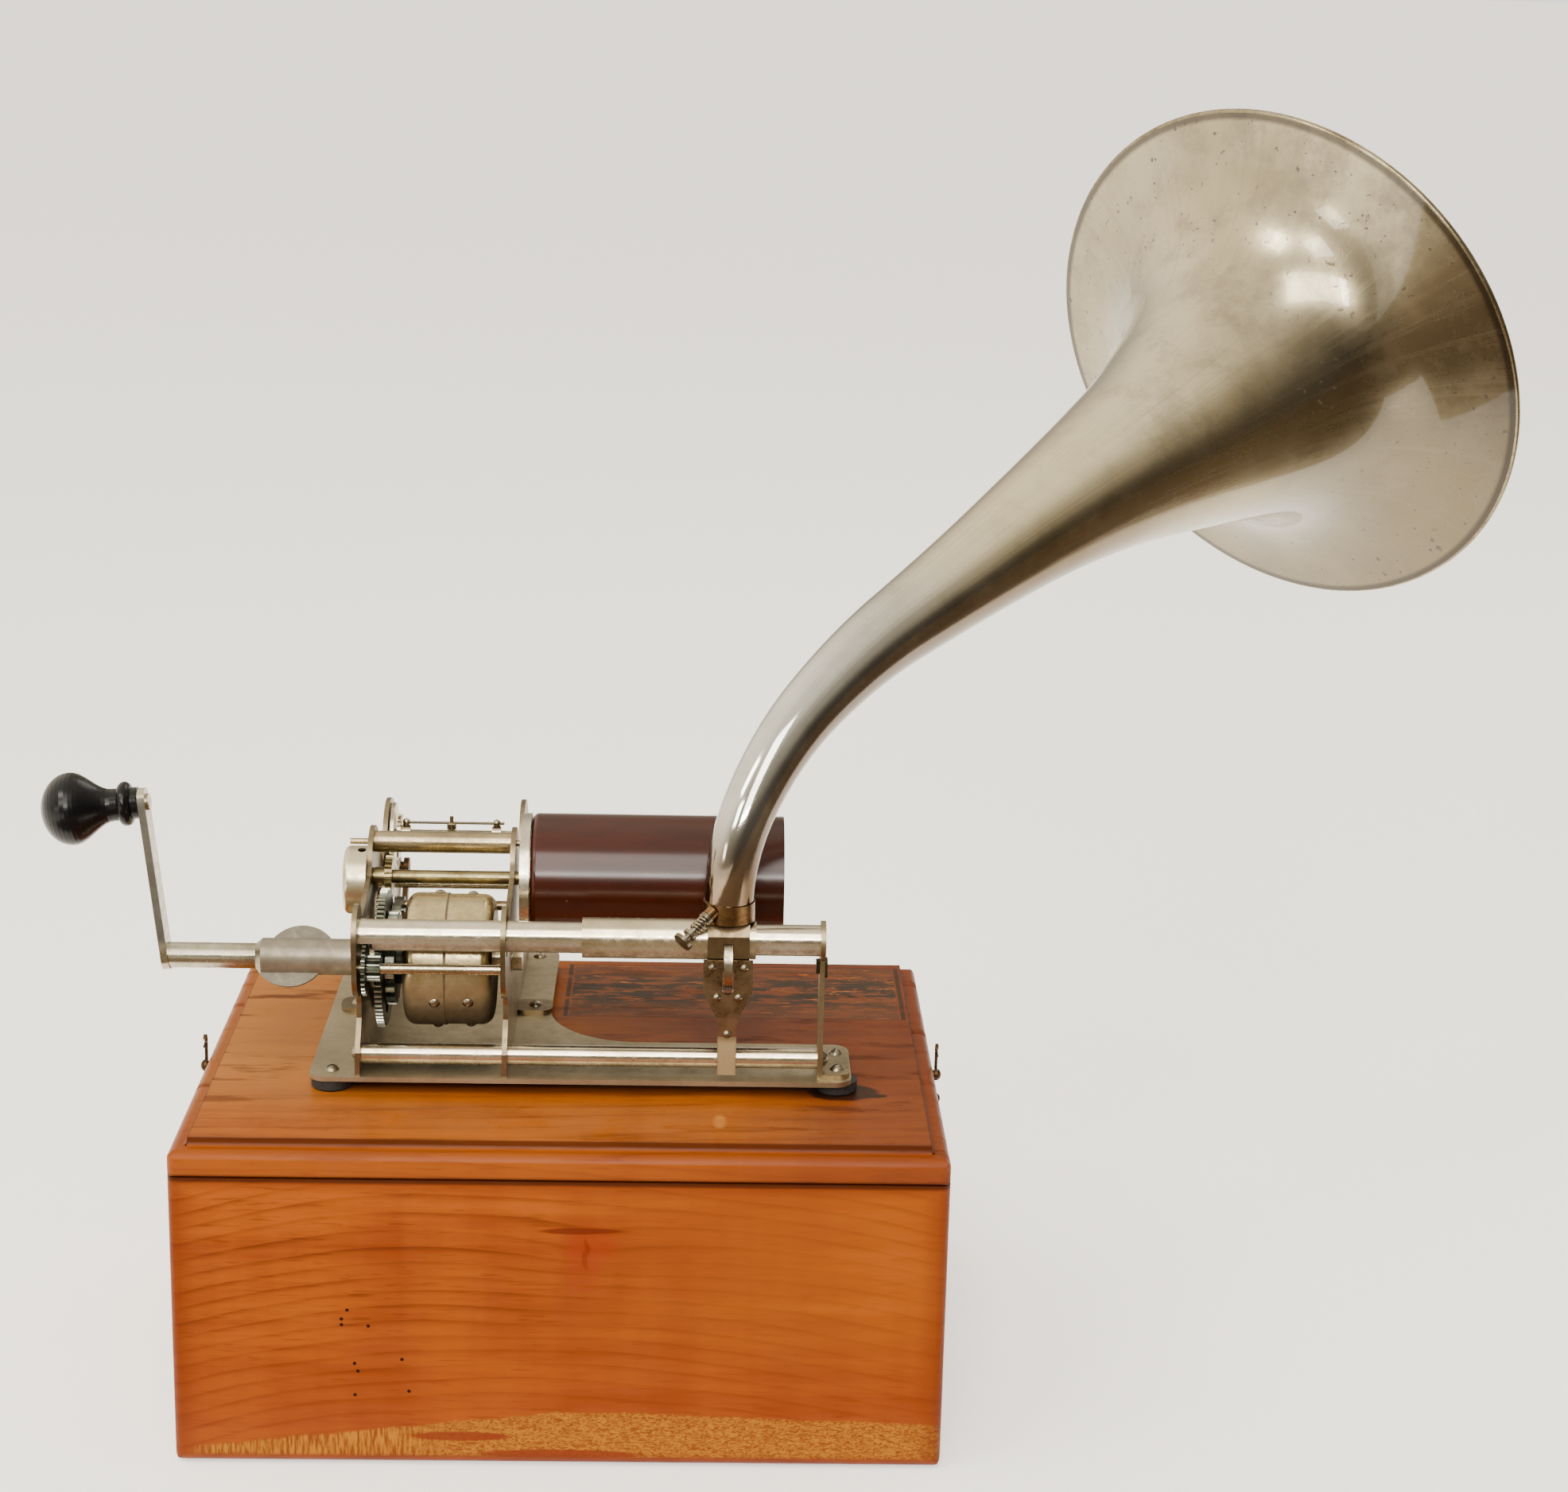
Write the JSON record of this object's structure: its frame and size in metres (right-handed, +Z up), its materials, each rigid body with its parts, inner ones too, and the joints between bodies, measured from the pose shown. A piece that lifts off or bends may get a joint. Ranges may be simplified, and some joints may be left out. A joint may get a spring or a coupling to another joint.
{
  "type": "cylinder phonograph",
  "caption": "Spring-wound table phonograph for cylinder records: open nickelled motor, guide tube with sliding carriage, curved horn and winding crank, on a wooden board over a wooden box",
  "frame": {"origin": "centre of the wooden box's flat underside", "axes": "+X to the right along the mandrel, +Y away from the viewer to the back, +Z up"},
  "size_m": [0.6527, 0.4435, 0.5323],
  "materials": {
    "wood_box": "satin varnished fruitwood",
    "wood_board": "worn satin varnish",
    "iron_brown": "browned iron",
    "nickel_plate": "worn nickel plating",
    "nickel_screw": "worn nickel plating",
    "rubber_foot": "matte black",
    "dark_steel": "oiled dark steel",
    "nickel_barrel": "nickel with rust stains",
    "spring_steel": "blued grey steel",
    "steel_shaft": "turned steel",
    "brass_shaft": "tarnished brass",
    "nickel_mandrel": "bright turned metal",
    "brown_record": "satin chocolate brown wax",
    "nickel_crank": "worn nickel plating",
    "black_knob": "gloss black lacquer",
    "nickel_carriage": "worn nickel plating",
    "nickel_horn": "tarnished bright nickel",
    "nickel_thumb": "worn nickel plating"
  },
  "bodies": {
    "box": {"box_front": "wood_box", "box_back": "wood_box", "box_left": "wood_box", "box_right": "wood_box", "box_floor": "wood_box", "catch_pins": "iron_brown"},
    "machine": {"base_board": "wood_board", "hook_screws": "iron_brown", "base_plate": "nickel_plate", "rubber_feet": "rubber_foot", "base_screws": "nickel_screw", "left_plate": "nickel_plate", "mid_plate": "nickel_plate", "upper_rod": "nickel_plate", "lower_rod": "nickel_plate", "rod_screws": "nickel_screw", "guide_tube": "nickel_plate", "bracket": "nickel_plate", "bracket_clip": "dark_steel", "bearing_cup": "nickel_plate"},
    "hook_l": {"hook_left": "iron_brown"},
    "hook_r": {"hook_right": "iron_brown"},
    "winder": {"barrel_left": "nickel_barrel", "barrel_right": "nickel_barrel", "barrel_screws": "nickel_screw", "main_spring": "spring_steel", "ratchet_wheel": "dark_steel", "winding_shaft": "steel_shaft", "wing_key": "nickel_crank", "crank": "nickel_crank"},
    "handle": {"knob": "black_knob"},
    "drive": {"great_wheel": "dark_steel", "drive_sleeve": "steel_shaft"},
    "front_train": {"front_shaft": "steel_shaft", "front_pinion": "dark_steel", "front_gear": "dark_steel"},
    "feed": {"feed_screw": "steel_shaft"},
    "mandrel_set": {"mandrel_shaft": "brass_shaft", "mandrel": "nickel_mandrel"},
    "record_sleeve": {"record": "brown_record"},
    "idler_one": {"first_idler": "brass_shaft"},
    "idler_two": {"second_idler": "brass_shaft"},
    "governor": {"governor_shaft": "steel_shaft", "friction_disc": "steel_shaft", "governor_springs": "spring_steel", "governor_weights": "steel_shaft"},
    "click_arm": {"click": "dark_steel"},
    "brake": {"brake_lever": "iron_brown"},
    "carriage": {"carriage_sleeve": "nickel_carriage", "yoke": "nickel_carriage", "leg_plate": "nickel_carriage", "leg_rivets": "nickel_screw", "leaf_spring": "spring_steel", "reproducer": "nickel_carriage", "stylus": "nickel_carriage"},
    "horn_set": {"horn": "nickel_horn", "horn_rim": "nickel_horn", "horn_collar": "nickel_horn"},
    "thumb": {"thumbscrew": "nickel_thumb", "thumb_spring": "spring_steel"}
  },
  "joints": [
    {"name": "machine_lift", "type": "slide", "parent": "box", "child": "machine", "axis": [0, 0, 1], "range_m": [0, 0.14]},
    {"name": "hook_l_turn", "type": "hinge", "parent": "machine", "child": "hook_l", "pos_m": [-0.156, -0.008, 0.1304], "axis": [1, 0, 0], "range_deg": [0, 180]},
    {"name": "hook_r_turn", "type": "hinge", "parent": "machine", "child": "hook_r", "pos_m": [0.156, -0.008, 0.1304], "axis": [1, 0, 0], "range_deg": [0, 180]},
    {"name": "winding_turn", "type": "hinge", "parent": "machine", "child": "winder", "pos_m": [0, -0.0217, 0.1852], "axis": [1, 0, 0], "continuous": true},
    {"name": "knob_spin", "type": "hinge", "parent": "winder", "child": "handle", "pos_m": [-0.1764, -0.0217, 0.25208], "axis": [0.9938, 0, 0.1115], "continuous": true},
    {"name": "drive_turn", "type": "hinge", "parent": "machine", "child": "drive", "pos_m": [0, -0.0217, 0.1852], "axis": [1, 0, 0], "continuous": true},
    {"name": "front_turn", "type": "hinge", "parent": "machine", "child": "front_train", "pos_m": [0, -0.05465, 0.19178], "axis": [1, 0, 0], "continuous": true},
    {"name": "feed_turn", "type": "hinge", "parent": "machine", "child": "feed", "pos_m": [0, -0.05491, 0.20658], "axis": [1, 0, 0], "continuous": true},
    {"name": "mandrel_turn", "type": "hinge", "parent": "machine", "child": "mandrel_set", "pos_m": [0, 0.00241, 0.21353], "axis": [1, 0, 0], "continuous": true},
    {"name": "record_slide", "type": "slide", "parent": "mandrel_set", "child": "record_sleeve", "axis": [1, 0, 0], "range_m": [0, 0.115]},
    {"name": "idler_one_turn", "type": "hinge", "parent": "machine", "child": "idler_one", "pos_m": [0, 0.01157, 0.18052], "axis": [1, 0, 0], "continuous": true},
    {"name": "idler_two_turn", "type": "hinge", "parent": "machine", "child": "idler_two", "pos_m": [0, 0.05104, 0.19489], "axis": [1, 0, 0], "continuous": true},
    {"name": "governor_turn", "type": "hinge", "parent": "machine", "child": "governor", "pos_m": [0, 0.07556, 0.21112], "axis": [1, 0, 0], "continuous": true},
    {"name": "click_turn", "type": "hinge", "parent": "machine", "child": "click_arm", "pos_m": [0, 0.00821, 0.19915], "axis": [1, 0, 0], "range_deg": [-20, 0]},
    {"name": "brake_turn", "type": "hinge", "parent": "machine", "child": "brake", "pos_m": [0, 0.04396, 0.15592], "axis": [1, 0, 0], "range_deg": [-10, 0]},
    {"name": "carriage_slide", "type": "slide", "parent": "machine", "child": "carriage", "axis": [1, 0, 0], "range_m": [-0.066, 0.022]},
    {"name": "horn_swing", "type": "hinge", "parent": "carriage", "child": "horn_set", "pos_m": [0.066, -0.05491, 0.21568], "axis": [0, 0, 1], "range_deg": [-4, 50]},
    {"name": "thumb_spin", "type": "hinge", "parent": "horn_set", "child": "thumb", "pos_m": [0.059, -0.06311, 0.22068], "axis": [-0.6698, -0.4951, -0.5533], "continuous": true}
  ],
  "couplings": [
    {"joint": "front_turn", "follows": "drive_turn", "ratio": -6},
    {"joint": "feed_turn", "follows": "drive_turn", "ratio": 16.2},
    {"joint": "mandrel_turn", "follows": "drive_turn", "ratio": -3.4286},
    {"joint": "idler_one_turn", "follows": "drive_turn", "ratio": -6},
    {"joint": "idler_two_turn", "follows": "drive_turn", "ratio": 12},
    {"joint": "governor_turn", "follows": "drive_turn", "ratio": -30}
  ]
}
